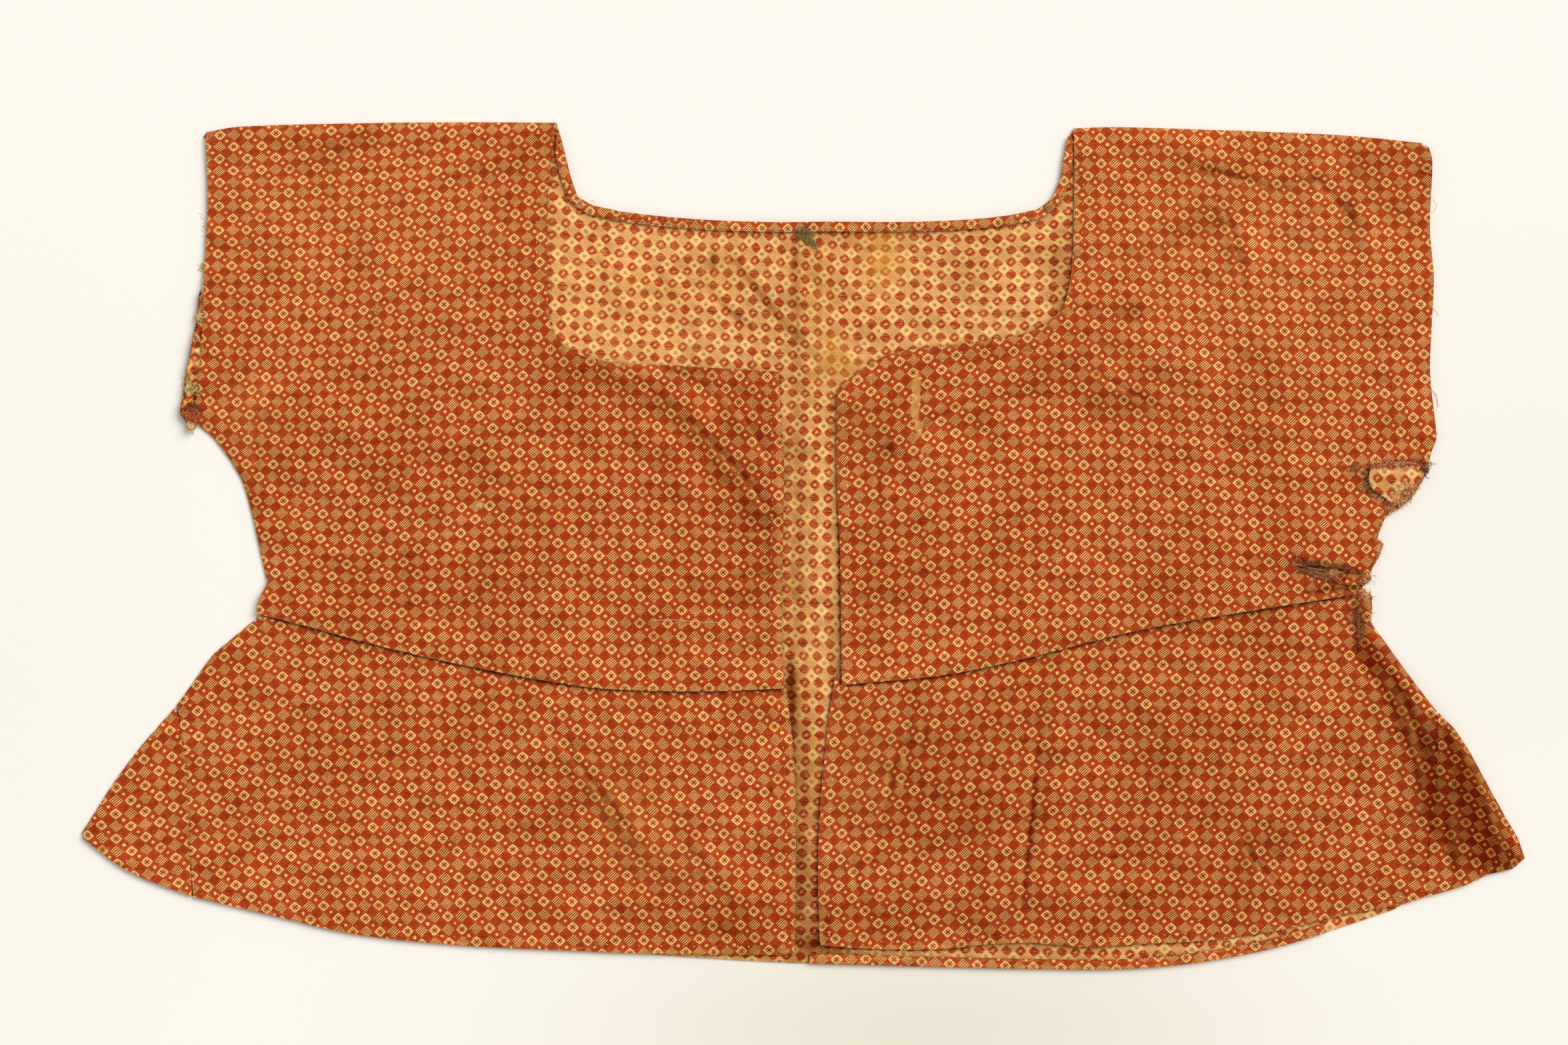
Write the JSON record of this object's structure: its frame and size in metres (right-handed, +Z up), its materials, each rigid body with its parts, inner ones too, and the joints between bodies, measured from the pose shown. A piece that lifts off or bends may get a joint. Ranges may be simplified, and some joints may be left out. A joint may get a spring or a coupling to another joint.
{
  "type": "short gown laid flat",
  "caption": "Short gown of block-printed cotton laid flat: square neck, cap sleeves cut in one with the body, open front, lapped waist seam and flared peplum with side gores.",
  "frame": {"origin": "middle of the outline's width and height, on the surface that the garment lies on", "axes": "+X across the garment to the right as seen from above with the front upwards, +Y from the hem towards the shoulders, +Z up through the layers of cloth"},
  "size_m": [0.6628, 0.3892, 0.0061],
  "materials": {
    "printed_cotton": "matt plain weave, printed with a small red-brown and cream diamond pattern",
    "cotton_wrong_side": "matt plain weave, the print showing faintly through",
    "cotton_hem": "matt plain weave, narrow turned hem showing the printed side"
  },
  "bodies": {
    "root": {"back": "cotton_wrong_side", "bodice_left": "printed_cotton", "bodice_right": "printed_cotton", "peplum_left": "printed_cotton", "peplum_right": "printed_cotton", "gore_left": "printed_cotton", "gore_right": "printed_cotton", "neck_hem": "cotton_hem", "back_hem": "cotton_hem", "torn_flap": "cotton_wrong_side"}
  },
  "joints": []
}
